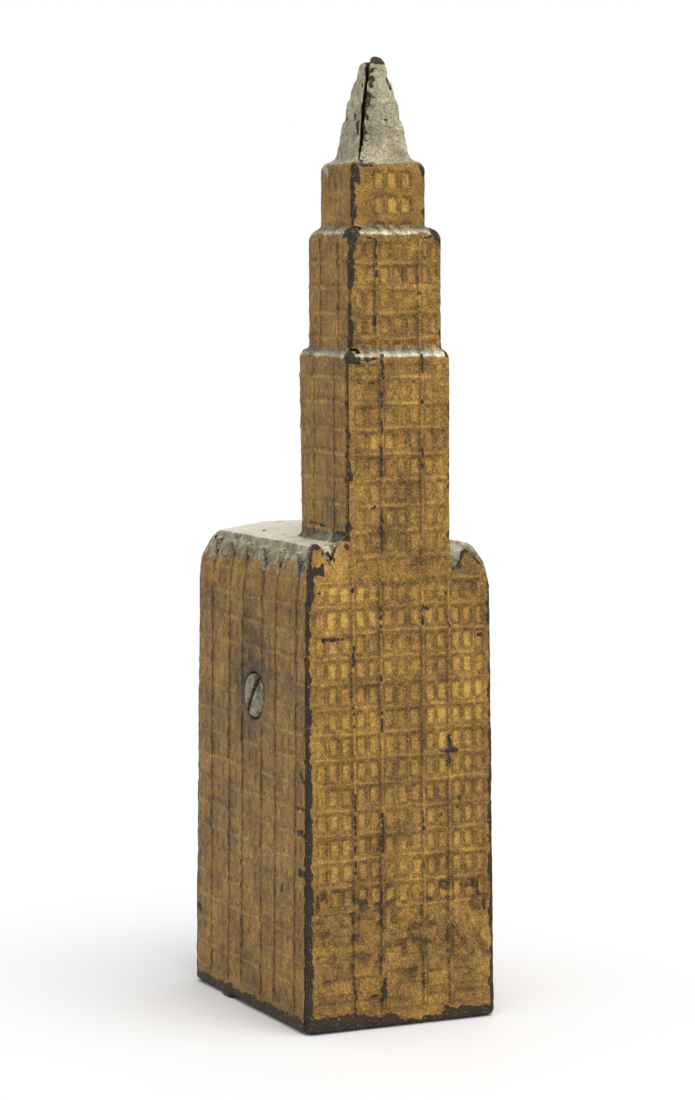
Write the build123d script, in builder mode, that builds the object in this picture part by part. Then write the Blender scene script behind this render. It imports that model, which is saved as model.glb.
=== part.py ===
"""Cast-iron still bank in the form of a stepped tower.

Two L-shaped castings make the whole building.  front_right_shell is the front wall with
the right-hand wall, rear_left_shell is the left-hand wall with the back.  They part at the
front-left and the rear-right corners, all the way up to the tip of the spire.  One slotted
screw goes in through the left wall, crosses the coin chamber and is tapped into a boss
inside the right wall.  Coins go in through a slot in the back.

Millimetres.  Origin at the bottom centre of the base, +Z up, -Y to the front, +X right.
"""
import os
from collections import namedtuple
from itertools import product

from build123d import *

# ---- overall -------------------------------------------------------------------------
BASE_W = 31.8            # across the front, at the foot
BASE_D = 43.8            # front to back, at the foot
FLARE = 0.75             # each wall leans in by this much up to FLARE_TOP
FLARE_TOP = 65.0
ROOF_Z = 74.0            # roof of the base block
WALL = 2.4               # thickness of the castings
TOWER_WALL = 2.2
SEAM = 0.2               # gap that is left between the two castings
SKIN = 0.75              # lip of one casting that laps over the other at a corner

# ---- base block ----------------------------------------------------------------------
SHOULDER_RX = 6.2        # the roof rolls over into the side walls on an ellipse
SHOULDER_RZ = 8.2
BACK_EDGE_R = 1.2
FLOOR_RECESS = 0.8       # the floor sits up inside a rim
FLOOR_T = 2.4
RIM = 2.2

# ---- tower: foot, top, width, front face, back face -----------------------------------
Tier = namedtuple("Tier", "foot top width front back")
FRONT_Y = -BASE_D / 2 + FLARE
TOWER_Y = -12.5          # the middle of the tower, front to back
TIERS = (
    Tier(ROOF_Z, 101.2, 16.8, FRONT_Y, -3.9),
    Tier(102.3, 119.3, 15.1, -20.1, -4.9),
    Tier(120.4, 130.2, 12.1, -18.4, -6.6),
)
CAP_T = 2.2              # roof thickness over each tier's hollow

# ---- spire: height and half-width of each square section -------------------------------
SPIRE = ((130.2, 6.0), (131.0, 4.5), (132.2, 3.85), (139.3, 2.5), (144.2, 1.5),
         (145.6, 0.95), (146.0, 0.45))
SPIRE_FOOT = SPIRE[0][0]

# ---- window relief ---------------------------------------------------------------------
STOREY = 3.8             # storey height
TOP_BAND = 64.1          # the string course under the shoulders
STOREYS_BELOW = 12
PANEL_H = 2.6            # height of one row of sunk windows
PANEL_DEPTH = 0.4
PIER = 0.8               # width of the plain piers between the bays
CORNER = 1.3             # plain strip that is kept at a corner
TIER_BAND = 1.0          # plain band that is kept along the top of a tier
HEAD_MARGIN = 1.2        # plain wall that is kept above and below the screw head
FRONT_PIERS = (-7.65, -3.1, 3.9, 8.3)
SIDE_PIERS = (-16.75, -9.25, -4.1, 3.3, 8.5, 15.5)
GROUND_ROWS = ((4.4, 3.4), (11.4, 3.6), (16.2, 3.0))     # middle and height of each row
TOWER_PIERS = (-2.9, 3.5)

# ---- screw -----------------------------------------------------------------------------
SCREW_Y = -1.5
SCREW_Z = 49.0
SHANK_R = 2.05
THREAD_CLEARANCE = 0.05
HEAD_R = 3.45
HEAD_T = 1.9
HEAD_FACE_X = -15.75     # outer face of the head
DRIVE_SLOT_W = 1.0
DRIVE_SLOT_DEEP = 1.0
DRIVE_SLOT_TURN = 52.0   # degrees from level
SEAT_X = HEAD_FACE_X + HEAD_T
ENGAGEMENT = 8.4         # length of thread held in the boss
BOSS_R = 4.5
PAD_R = 5.6
PAD_T = 1.6
TIP_X = BASE_W / 2 - FLARE - WALL
BOSS_X = TIP_X - ENGAGEMENT
THREAD_RUNOUT = 0.5

# ---- coin slot -------------------------------------------------------------------------
COIN_SLOT_W = 25.0
COIN_SLOT_H = 2.9
COIN_SLOT_Z = 58.4

MARGIN = 1.5             # how far a cutting outline stands outside the walls
OVERRUN = 1.0            # how far a cut runs on past the face that it opens
SCREW_AXIS = Plane(origin=(0, SCREW_Y, SCREW_Z), x_dir=(0, 1, 0), z_dir=(1, 0, 0))


# ---- outlines --------------------------------------------------------------------------
def shoulder_outline(inset):
    """Front view of the base block, or of its hollow when inset is the wall thickness."""
    foot = BASE_W / 2 - inset
    eave = foot - FLARE
    top = ROOF_Z - inset
    spring = ROOF_Z - SHOULDER_RZ
    rx = SHOULDER_RX - inset
    rz = top - spring
    bottom = FLOOR_RECESS + FLOOR_T if inset else 0
    Line((-foot, bottom), (foot, bottom))
    Line((foot, bottom), (eave, FLARE_TOP))
    Line((eave, FLARE_TOP), (eave, spring))
    EllipticalCenterArc((eave - rx, spring), rx, rz, start_angle=0, arc_size=90)
    Line((eave - rx, top), (-eave + rx, top))
    EllipticalCenterArc((-eave + rx, spring), rx, rz, start_angle=90, arc_size=90)
    Line((-eave, spring), (-eave, FLARE_TOP))
    Line((-eave, FLARE_TOP), (-foot, bottom))


def side_outline(inset):
    """Side view of the base block, with its sloped front and back walls."""
    foot = BASE_D / 2 - inset
    eave = foot - FLARE
    Polyline((-foot, 0), (foot, 0), (eave, FLARE_TOP), (eave, ROOF_Z), (-eave, ROOF_Z),
             (-eave, FLARE_TOP), close=True)


def corner_lap(half_w, front, back, wall, centre, rise):
    """Plan of what the front-right casting owns of one box: laps at two corners.

    Inside the box the parting runs from corner to corner, rise above and below centre.
    """
    inner = half_w - wall
    out = half_w + MARGIN + FLARE
    return [(out, front - MARGIN - FLARE), (out, back - SKIN), (inner, back - SKIN),
            (inner, centre + rise), (-inner, centre - rise), (-inner, front + SKIN),
            (-out, front + SKIN), (-out, front - MARGIN - FLARE)]


def roof_lap():
    """Plan of what the front-right casting owns of the roof: its right shoulder."""
    tier = TIERS[0]
    half_w = tier.width / 2
    inner = half_w - TOWER_WALL
    back = -FRONT_Y
    out = BASE_W / 2 + MARGIN
    return [(out, FRONT_Y - MARGIN), (out, back - SKIN), (half_w, back - SKIN),
            (half_w, tier.back - SKIN), (inner, tier.back - SKIN), (inner, TOWER_Y + inner),
            (-inner, TOWER_Y - inner), (-inner, FRONT_Y + SKIN), (-out, FRONT_Y + SKIN),
            (-out, FRONT_Y - MARGIN)]


ROOF_SPLIT_Z = FLARE_TOP
EAVE_HALF_W = BASE_W / 2 - FLARE
ZONES = [(-OVERRUN, ROOF_SPLIT_Z,
          corner_lap(EAVE_HALF_W, FRONT_Y, -FRONT_Y, WALL, 0, -FRONT_Y - WALL)),
         (ROOF_SPLIT_Z, ROOF_Z, roof_lap())]
for lower, upper in zip(TIERS, TIERS[1:] + (None,)):
    zone_top = upper.foot if upper else SPIRE_FOOT
    half_w = lower.width / 2
    ZONES.append((lower.foot, zone_top, corner_lap(half_w, lower.front, lower.back, TOWER_WALL,
                                                   TOWER_Y, half_w - TOWER_WALL)))
SPIRE_HALF = SPIRE[0][1]
SPIRE_TOP = SPIRE[-1][0]
ZONES.append((SPIRE_FOOT, SPIRE_TOP + OVERRUN,
              [(SPIRE_HALF + MARGIN, TOWER_Y - SPIRE_HALF - MARGIN),
               (SPIRE_HALF + MARGIN, TOWER_Y + SPIRE_HALF + MARGIN),
               (-SPIRE_HALF - MARGIN, TOWER_Y - SPIRE_HALF - MARGIN)]))


def front_right_side(grow):
    """The space that belongs to the front-right casting, grown by the seam's width."""
    for low, high, outline in ZONES:
        with BuildSketch(Plane.XY.offset(low - grow)) as plan:
            with BuildLine():
                Polyline(*outline, close=True)
            make_face()
            if grow:
                offset(amount=grow, kind=Kind.INTERSECTION)
        extrude(plan.sketch, amount=high - low + 2 * grow)


# ---- relief ----------------------------------------------------------------------------
LEAN = FLARE / FLARE_TOP
FACES = {
    "front": Plane(origin=(0, -BASE_D / 2, 0), x_dir=(1, 0, 0), z_dir=(0, -1, LEAN)),
    "back": Plane(origin=(0, BASE_D / 2, 0), x_dir=(-1, 0, 0), z_dir=(0, 1, LEAN)),
    "left": Plane(origin=(-BASE_W / 2, 0, 0), x_dir=(0, -1, 0), z_dir=(-1, 0, LEAN)),
    "right": Plane(origin=(BASE_W / 2, 0, 0), x_dir=(0, 1, 0), z_dir=(1, 0, LEAN)),
}


def bays(piers, low, high):
    """Middle and width of each bay between the piers, corner to corner."""
    edges = [low + CORNER - PIER / 2, *piers, high - CORNER + PIER / 2]
    return [((a + b) / 2, b - a - PIER) for a, b in zip(edges, edges[1:])]


def base_rows():
    regular = [(TOP_BAND + STOREY * (0.5 - k), PANEL_H) for k in range(STOREYS_BELOW + 1)]
    return regular + list(GROUND_ROWS)


def kept_clear(face, middle, width, height):
    """True where the screw or the coin slot takes the place of a window panel."""
    if face == "left":
        return abs(middle + SCREW_Y) < width / 2 and abs(height - SCREW_Z) < HEAD_R + HEAD_MARGIN
    if face == "back":
        return abs(height - COIN_SLOT_Z) < STOREY / 2
    return False


def sink_panels(plane, panels):
    """Sink a list of (middle, width, height of the middle, height) panels into a face."""
    with BuildSketch(plane) as windows:
        for middle, width, height, tall in panels:
            with Locations((middle, height)):
                Rectangle(width, tall)
    extrude(windows.sketch, amount=-PANEL_DEPTH, mode=Mode.SUBTRACT)


def base_panels(face):
    if face in ("front", "back"):
        columns = bays(FRONT_PIERS, -BASE_W / 2 + FLARE, BASE_W / 2 - FLARE)
    else:
        side = [-y for y in reversed(SIDE_PIERS)] if face == "left" else SIDE_PIERS
        columns = bays(side, FRONT_Y, -FRONT_Y)
    return [(middle, width, height, tall)
            for (middle, width), (height, tall) in product(columns, base_rows())
            if not kept_clear(face, middle, width, height)]


def tower_panels(tier, span):
    """Three bays of window panels for one face of one tier, span wide."""
    scale = span / TIERS[0].width
    columns = bays([x * scale for x in TOWER_PIERS], -span / 2, span / 2)
    count = int((tier.top - tier.foot - TIER_BAND) // STOREY)
    heights = [tier.top - TIER_BAND - STOREY * (k + 0.5) for k in range(count)]
    return [(middle, width, height, PANEL_H)
            for (middle, width), height in product(columns, heights)]


# ---- one body, both castings together ---------------------------------------------------
with BuildPart() as hollow:
    with BuildSketch(Plane.XZ):
        with BuildLine():
            shoulder_outline(WALL)
        make_face()
    extrude(amount=BASE_D / 2, both=True)
    with BuildSketch(Plane.YZ):
        with BuildLine():
            side_outline(WALL)
        make_face()
    extrude(amount=BASE_W / 2, both=True, mode=Mode.INTERSECT)
    for tier in TIERS:
        bottom = tier.foot - WALL - OVERRUN
        with BuildSketch(Plane.XY.offset(bottom)):
            with Locations((0, (tier.front + tier.back) / 2)):
                Rectangle(tier.width - 2 * TOWER_WALL, tier.back - tier.front - 2 * TOWER_WALL)
        extrude(amount=tier.top - CAP_T - bottom)

with BuildPart() as body:
    with BuildSketch(Plane.XZ):
        with BuildLine():
            shoulder_outline(0)
        make_face()
    extrude(amount=BASE_D, both=True)
    with BuildSketch(Plane.YZ):
        with BuildLine():
            side_outline(0)
        make_face()
    extrude(amount=BASE_W, both=True, mode=Mode.INTERSECT)
    roof_back = body.edges().filter_by(Axis.X).group_by(Axis.Z)[-1].sort_by(Axis.Y)[-1]
    fillet(roof_back, radius=BACK_EDGE_R)

    for tier in TIERS:
        with BuildSketch(Plane.XY.offset(tier.foot)):
            with Locations((0, (tier.front + tier.back) / 2)):
                Rectangle(tier.width, tier.back - tier.front)
        extrude(amount=tier.top - tier.foot)
    for lower, upper in zip(TIERS, TIERS[1:]):
        with BuildSketch(Plane.XY.offset(lower.top)):
            with Locations((0, (lower.front + lower.back) / 2)):
                Rectangle(lower.width, lower.back - lower.front)
        with BuildSketch(Plane.XY.offset(upper.foot)):
            with Locations((0, (upper.front + upper.back) / 2)):
                Rectangle(upper.width, upper.back - upper.front)
        loft(ruled=True)
    for height, half in SPIRE:
        with BuildSketch(Plane.XY.offset(height)):
            with Locations((0, TOWER_Y)):
                Rectangle(2 * half, 2 * half)
    loft(ruled=True)

    for face, plane in FACES.items():
        sink_panels(plane, base_panels(face))
    for tier in TIERS:
        half_w = tier.width / 2
        middle_y = (tier.front + tier.back) / 2
        depth = tier.back - tier.front
        for origin, x_dir, z_dir, span in (
                ((0, tier.front, 0), (1, 0, 0), (0, -1, 0), tier.width),
                ((0, tier.back, 0), (-1, 0, 0), (0, 1, 0), tier.width),
                ((-half_w, middle_y, 0), (0, -1, 0), (-1, 0, 0), depth),
                ((half_w, middle_y, 0), (0, 1, 0), (1, 0, 0), depth)):
            sink_panels(Plane(origin=origin, x_dir=x_dir, z_dir=z_dir),
                        tower_panels(tier, span))

    add(hollow.part, mode=Mode.SUBTRACT)

    # recess under the floor, inside the rim
    with BuildSketch(Plane.XY):
        Rectangle(BASE_W - 2 * RIM, BASE_D - 2 * RIM)
    extrude(amount=FLOOR_RECESS, mode=Mode.SUBTRACT)

    # tapped boss inside the right wall, and the pad that the head clamps on
    with BuildSketch(SCREW_AXIS.offset(BOSS_X)):
        Circle(BOSS_R)
    extrude(amount=ENGAGEMENT + WALL / 2)
    with BuildSketch(SCREW_AXIS.offset(SEAT_X)):
        Circle(PAD_R)
    extrude(amount=PAD_T + WALL - (HEAD_T - SEAM))
    with BuildSketch(SCREW_AXIS.offset(-BASE_W)):
        Circle(HEAD_R + 2 * SEAM)
    extrude(amount=SEAT_X + BASE_W, mode=Mode.SUBTRACT)
    with BuildSketch(SCREW_AXIS.offset(SEAT_X - OVERRUN)):
        Circle(SHANK_R + SEAM)
    extrude(amount=PAD_T + 2 * WALL, mode=Mode.SUBTRACT)
    with BuildSketch(SCREW_AXIS.offset(BOSS_X - OVERRUN)):
        Circle(SHANK_R + THREAD_CLEARANCE)
    extrude(amount=ENGAGEMENT + OVERRUN + THREAD_RUNOUT, mode=Mode.SUBTRACT)

    # coin slot through the back wall
    with BuildSketch(FACES["back"]):
        with Locations((0, COIN_SLOT_Z)):
            SlotOverall(COIN_SLOT_W, COIN_SLOT_H)
    extrude(amount=-2 * WALL, mode=Mode.SUBTRACT)

# ---- the two castings -------------------------------------------------------------------
with BuildPart() as front_right_space:
    front_right_side(0)

with BuildPart() as front_right_cut:
    front_right_side(SEAM)

with BuildPart() as front_right_shell:
    add(body.part)
    add(front_right_space.part, mode=Mode.INTERSECT)
front_right_shell.part.label = "front_right_shell"

with BuildPart() as rear_left_shell:
    add(body.part)
    add(front_right_cut.part, mode=Mode.SUBTRACT)
rear_left_shell.part.label = "rear_left_shell"

# ---- the screw --------------------------------------------------------------------------
with BuildPart() as cross_screw:
    with BuildSketch(SCREW_AXIS.offset(HEAD_FACE_X)):
        Circle(HEAD_R)
    extrude(amount=HEAD_T)
    head_rim = cross_screw.edges().filter_by(GeomType.CIRCLE).sort_by(Axis.X)[0]
    fillet(head_rim, radius=HEAD_T / 3)
    with BuildSketch(SCREW_AXIS.offset(SEAT_X)):
        Circle(SHANK_R)
    extrude(amount=TIP_X - SEAT_X)
    tip_rim = cross_screw.edges().filter_by(GeomType.CIRCLE).sort_by(Axis.X)[-1]
    chamfer(tip_rim, length=SHANK_R / 4)
    with BuildSketch(SCREW_AXIS.offset(HEAD_FACE_X)):
        Rectangle(3 * HEAD_R, DRIVE_SLOT_W, rotation=-DRIVE_SLOT_TURN)
    extrude(amount=DRIVE_SLOT_DEEP, mode=Mode.SUBTRACT)
cross_screw.part.label = "cross_screw"

os.makedirs("parts", exist_ok=True)
export_step(front_right_shell.part, "parts/front_right_shell.step")
export_step(rear_left_shell.part, "parts/rear_left_shell.step")
export_step(cross_screw.part, "parts/cross_screw.step")
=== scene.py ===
"""Looks for the stepped-tower bank: two painted sand castings clamped by a slotted screw.

Each casting is a distance field, worked out in millimetres from the same walls as the CAD:
window relief, rolled shoulders, gables, ledges and spire on the outside, the coin chamber
inside, and the parting line that the castings share.  The field is turned into one closed
mesh per casting, and every vertex then gets its paint: gold, silver, grime or bare iron.
"""

import math

import bpy
import numpy as np
import openvdb
from mathutils import Matrix, Vector


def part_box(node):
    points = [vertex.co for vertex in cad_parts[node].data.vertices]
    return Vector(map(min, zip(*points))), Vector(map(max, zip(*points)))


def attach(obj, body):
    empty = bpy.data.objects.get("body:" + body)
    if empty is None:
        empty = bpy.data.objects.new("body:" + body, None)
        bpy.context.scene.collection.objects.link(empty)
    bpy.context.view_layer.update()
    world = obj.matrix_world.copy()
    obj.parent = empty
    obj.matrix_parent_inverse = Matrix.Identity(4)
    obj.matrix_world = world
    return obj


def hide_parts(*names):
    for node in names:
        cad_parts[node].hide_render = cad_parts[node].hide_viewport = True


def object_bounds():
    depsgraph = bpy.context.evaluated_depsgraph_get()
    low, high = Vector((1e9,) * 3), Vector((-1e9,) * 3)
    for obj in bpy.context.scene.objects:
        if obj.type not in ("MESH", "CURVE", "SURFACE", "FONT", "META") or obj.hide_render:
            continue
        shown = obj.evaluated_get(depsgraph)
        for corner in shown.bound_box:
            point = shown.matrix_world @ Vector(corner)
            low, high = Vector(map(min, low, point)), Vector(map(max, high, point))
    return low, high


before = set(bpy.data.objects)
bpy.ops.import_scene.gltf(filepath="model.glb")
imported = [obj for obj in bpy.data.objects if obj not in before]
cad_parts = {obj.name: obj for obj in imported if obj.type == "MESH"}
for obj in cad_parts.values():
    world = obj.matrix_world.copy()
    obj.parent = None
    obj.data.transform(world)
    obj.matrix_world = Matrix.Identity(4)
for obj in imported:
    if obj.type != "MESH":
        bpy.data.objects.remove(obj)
cad_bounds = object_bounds()

MM = 0.001
VOXEL = 0.22  # mm
SCREW_VOXEL = 0.1
MERGE = 0.015                   # how readily flat parts of a mesh share large faces
BAND = 3.0                      # distances are kept up to this many lattice steps
TINY = 1e-9                     # keeps a share from being divided by zero

# ---- walls of the base block, mm
HALF_W = cad_bounds[1][0] / MM
HALF_D = cad_bounds[1][1] / MM
HEIGHT = cad_bounds[1][2] / MM
LEAN_TOP = 65.0                 # the walls lean in up to this height
LEAN = {"left": 0.85, "right": 0.35, "front": 0.75, "back": 0.75}
ROOF_Z = 74.0
CROWN = 0.008                   # the roof falls away from the middle as x squared
# How far in and how far down each wall rolls over into the roof.
ROLL = {"left": (3.4, 8.0), "right": (3.2, 8.0), "front": (2.4, 6.0), "back": (1.8, 4.5)}
WALL = 2.4
TOWER_WALL = 2.2
SKIN = 0.75                     # thickness of each casting where it laps over the other
SEAM = 0.2
FOOT_ROLL = 1.3                 # radius that rounds the lowest edge under
FLOOR_RECESS = 0.8
FLOOR_TOP = 3.2
RIM = 2.2                       # width of the foot's rim round the recess
ROOF_SPLIT_Z = 65.0             # the parting line takes its roof course above this
LAP_EDGE = 0.35                 # rounding where the castings meet
FLOOR_EDGE = 0.5                # rounding of the lowest edge

# ---- tower: foot, top, middle x, half width, front, back
TOWER_Y = -12.5
TIERS = ((70.0, 101.2, 0.20, 8.5, -21.15, -3.9), (101.0, 119.3, 0.22, 7.6, -20.1, -4.9),
         (119.0, 130.1, 0.0, 6.05, -18.4, -6.6))
LEDGE_RISE = (1.1, 1.1, 0.15)
BACK_LEAN = 0.025               # the widest tier opens towards the back as it rises
CAP = 2.2                       # iron over each tier's hollow
TIER_ARRIS = (0.7, 0.7, 1.1)    # rounding of each tier's top edge

# ---- spire: height against half width
SPIRE_Z = (129.6, 130.2, 130.8, 131.6, 135.0, 138.3, 141.3, 143.3, 144.6, 145.4, 146.0)
SPIRE_HALF = (5.3, 4.9, 4.4, 4.15, 3.5, 2.88, 2.15, 1.85, 1.72, 1.5, 1.1)
SPIRE_STAGES = (136.2, 139.4, 142.2)
STAGE_SWELL = 0.22
LEFT_TIP = 145.2
SPIRE_GAP = 0.14                # how far each half stands off the seam in the spire
SPIRE_TONGUE = 0.6              # step in the spire's seam, so that no light comes through

# ---- storeys and bays: the bays' edges across a face, then the windows in each bay
STOREY = 3.8
EAVES_BAND = 67.9               # string course over the top row of windows
FRONT_BAYS = ((-14.4, -7.65, -3.1, 3.9, 8.3, 14.75), (3, 2, 3, 2, 3))
SIDE_BAYS = ((-21.0, -16.75, -9.25, -4.1, 3.3, 8.5, 15.5, 21.0), (2, 3, 2, 3, 2, 3, 2))
TIER_FRONT_BAYS = (((-7.6, -2.7, 3.9, 8.3), (2, 3, 2)), ((-6.9, -3.0, 4.1, 7.4), (2, 3, 2)),
                   ((-3.05, 4.05), (3,)))
TIER_SIDE_BAYS = (((-20.6, -15.9, -8.5, -4.1), (2, 3, 2)), ((-19.7, -15.5, -9.1, -5.1), (2, 3, 2)),
                  ((-15.9, -9.5), (3,)))
TIER_TOP_BAND = (98.2, 115.3, 125.6)  # bottom of the top row of windows
PANEL_MARGIN = 0.45
FRONT_BOTTOM = 18.5             # the rows of windows end here on the front and back
SIDE_BOTTOM = 3.4
WINDOW_SHARE = 0.68             # of its pitch, across
WINDOW_TALL = 0.64              # of the storey
WINDOW_DEEP = {"front": 0.34, "back": 0.30, "left": 0.13, "right": 0.15}
TIER_WINDOW_DEEP = (0.24, 0.24, 0.34)  # on the front and back of each tier
TIER_SIDE_DEEP = 0.14
LAP_THINNING = 0.5              # windows over the thin lap are less deep by this share
GROOVE = 0.4                    # mm from a pier's middle to the groove beside it
CORNER_X = 14.9                 # how far out the pattern reaches on the front and back
CORNER_Y = 20.9                 # how far out the pattern reaches on the sides

# ---- gables along the front eaves: points across the wall and their height
FRONT_GABLES = ((-15.3, 66.0), (-14.9, 69.5), (-14.3, 73.0), (-13.4, 73.9), (-12.3, 72.9),
                (-11.2, 71.0), (-10.3, 73.2), (-8.5, 74.3), (8.5, 74.2), (8.9, 69.0),
                (9.9, 69.2), (10.6, 71.0), (11.4, 72.2), (12.3, 71.5), (13.6, 70.0),
                (14.6, 68.6), (15.3, 66.0))
GABLE_FOOT = 66.0
GABLE_DEEP = 2.0
ARCH_FOOT = 69.0
ARCH_RISE = 2.7

# ---- screw and coin slot
screw_low, screw_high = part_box("cross_screw")
SCREW_Y = (screw_low[1] + screw_high[1]) / 2 / MM
SCREW_Z = (screw_low[2] + screw_high[2]) / 2 / MM
HEAD_R = (screw_high[2] - screw_low[2]) / 2 / MM
HEAD_FACE_X = screw_low[0] / MM
TIP_X = screw_high[0] / MM
HEAD_T = 1.9
SHANK_R = 2.05
THREAD_PITCH = 0.794
THREAD_DEEP = 0.42
ENGAGEMENT = 8.4
DRIVE_SLOT_W = 1.0
DRIVE_SLOT_DEEP = 1.0
DRIVE_SLOT_TURN = math.radians(52)
BOSS_R = 4.5
PAD_R = 5.6
PAD_T = 1.6
COIN_SLOT_W = 25.0
COIN_SLOT_H = 2.9
COIN_SLOT_Z = 58.4
HEAD_CLEARANCE = 0.16
SHANK_CLEARANCE = 0.2
THREAD_CLEARANCE = 0.05
HEAD_DOME = 0.30
LUG_Y = 8.5                     # a lump on the left wall's foot


# ---- small maths
class Noise:
    """Smooth noise from -1 to 1 over a plane, from a seeded lattice that repeats."""

    SIZE = 256

    def __init__(self, seed):
        table = np.random.default_rng(seed).uniform(-1, 1, (self.SIZE, self.SIZE))
        self.table = table.astype(np.float32)

    def __call__(self, a, b, cell):
        a = np.asarray(a, np.float32) / cell
        b = np.asarray(b, np.float32) / cell
        i, j = np.floor(a).astype(int), np.floor(b).astype(int)
        u, v = a - i, b - j
        u, v = u * u * (3 - 2 * u), v * v * (3 - 2 * v)
        n = self.SIZE
        t = self.table
        near = t[i % n, j % n] * (1 - u) + t[(i + 1) % n, j % n] * u
        far = t[i % n, (j + 1) % n] * (1 - u) + t[(i + 1) % n, (j + 1) % n] * u
        return near * (1 - v) + far * v


def smooth_max(a, b, reach):
    return np.maximum(a, b) + np.maximum(reach - np.abs(a - b), 0) ** 2 / (4 * reach)


def smooth_min(a, b, reach):
    return -smooth_max(-a, -b, reach)


def step(edge_low, edge_high, value):
    """Smooth 0 to 1 as value goes from edge_low to edge_high."""
    t = np.clip((value - edge_low) / (edge_high - edge_low), 0, 1)
    return t * t * (3 - 2 * t)


def bump(offset, reach):
    """A rounded ridge: 1 at offset 0, fading over reach."""
    return np.exp(-(offset / reach) ** 2)


def inside(offset, half, edge):
    """1 within half of the middle, falling to 0 over a soft edge."""
    return step(half + edge / 2, half - edge / 2, np.abs(offset))


# ---- relief
LUMPS = {face: Noise(seed) for face, seed in
         (("front", 11), ("back", 12), ("left", 13), ("right", 14), ("roof", 15))}
WOBBLE = Noise(21)
WEAR = Noise(22)
WINDOW_VARIETY = np.random.default_rng(5).uniform(0.55, 1.15, (64, 64)).astype(np.float32)


def columns(bays):
    """Middle and half width of each window column, bay by bay."""
    edges, counts = bays
    found = []
    for left, right, count in zip(edges, edges[1:], counts):
        pitch = (right - left - 0.5) / count
        for n in range(count):
            found.append((left + 0.25 + pitch * (n + 0.5), pitch * WINDOW_SHARE / 2))
    return found


def windows(u, z, bays, top, bottom):
    """0 to 1: how far each point is sunk into a window of a face."""
    storey = (top - z + 0.12 * WOBBLE(u, z, 5.0)) / STOREY
    row = np.floor(storey).astype(int)
    across = storey - row - 0.5
    tall = inside(across, WINDOW_TALL / 2, 0.15) * step(bottom - 0.2, bottom + 0.2, z)
    tall = tall * step(top + 0.1, top - 0.1, z)
    sunk = 0
    for number, (middle, half) in enumerate(columns(bays)):
        variety = WINDOW_VARIETY[row % 64, number]
        drift = 0.10 * WOBBLE(z + 9 * number, 0 * z, 4.0)
        sunk = sunk + inside(u - middle - drift, half, 0.5) * tall * variety
    return sunk


def bands(u, z, top, bottom, reach):
    """0 to 1: the thin cords between storeys, slightly wavy."""
    storey = (top - z + 0.18 * WOBBLE(u, z, 5.0) + 0.12 * WOBBLE(u, z, 1.6)) / STOREY
    offset = (storey - np.round(storey)) * STOREY
    return bump(offset, reach) * step(bottom - 0.8, bottom - 0.2, z) * step(top + 1.0, top + 0.5, z)


def piers(u, z, bays, reach):
    """0 to 1: the thin upright ridges between the bays."""
    total = 0
    for edge in bays[0][1:-1]:
        total = total + bump(u - edge - 0.10 * WOBBLE(z, edge + 0 * z, 6.0), reach)
    return total


def grain(face, u, z, amount):
    """Lumps and pits of a sand casting."""
    lumps = LUMPS[face]
    coarse = 0.05 * lumps(u, z, 3.1) + 0.04 * lumps(u, z, 1.1)
    return amount * (coarse + 0.04 * lumps(u, z, 0.62) + 0.03 * lumps(u, z, 0.33))


def ground_panels(u, z):
    """The plain wide panels of the lowest storeys, with a taller one in the middle bay."""
    edges = FRONT_BAYS[0]
    total = 0
    for left, right in zip(edges, edges[1:]):
        middle, half = (left + right) / 2, (right - left) / 2 - PANEL_MARGIN
        entrance = abs(middle) < 1
        rows = ((5.8, 2.9),) if entrance else ((3.7, 0.9), (6.9, 1.2))
        for height, tall in rows:
            total = total + inside(u - middle, half, 0.5) * inside(z - height, tall, 0.5)
        for height, tall in ((11.6, 1.6), (16.2, 1.4)):
            worn = 0.35 + 0.35 * WOBBLE(u, z, 2.6)
            total = total + worn * inside(u - middle, half, 0.9) * inside(z - height, tall, 0.9)
    return total


def arch_top(u):
    """Height of the arch that closes each bay at the side eaves."""
    top = np.full(np.shape(u), 60.0)
    edges = SIDE_BAYS[0]
    for front, back in zip(edges, edges[1:]):
        middle, half = (front + back) / 2, (back - front) / 2
        part = 1 - np.abs((u - middle) / half) ** 1.8
        top = np.maximum(top, ARCH_FOOT + ARCH_RISE * part)
    return top


def gable_top(u):
    """Height of the stepped gables along the front eaves."""
    points = np.array(FRONT_GABLES)
    return np.interp(u, points[:, 0], points[:, 1]).astype(np.float32)


def tier_pattern(face, tier, u, z):
    """Windows, cords and piers on one face of one tier of the tower."""
    bays = (TIER_FRONT_BAYS if face in ("front", "back") else TIER_SIDE_BAYS)[tier]
    foot, top = max(TIERS[tier][0], EAVES_BAND - 0.3), TIERS[tier][1]
    first = TIER_TOP_BAND[tier] + STOREY
    ends = step(top - 0.3, top - 1.0, z) * (z > foot)
    faded = 1.0 if tier == 2 else 0.75 + 0.45 * WOBBLE(u + 31 * tier, z, 4.2)
    sunk = windows(u, z, bays, first, foot) * step(top - 1.0, top - 1.5, z) * faded
    deep = TIER_SIDE_DEEP if face in ("left", "right") else TIER_WINDOW_DEEP[tier]
    ridges = 0.14 * piers(u, z, bays, 0.24) - 0.12 * piers(u + GROOVE, z, bays, 0.16)
    if tier < 2:
        ridges = ridges + 0.17 * bands(u, z, first, foot, 0.32)
    first_edge, last_edge = bays[0][0], bays[0][-1]
    corner = step(-0.3, 0.5, np.minimum(u - first_edge, last_edge - u))
    return (ridges - deep * sunk) * ends * corner


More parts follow.
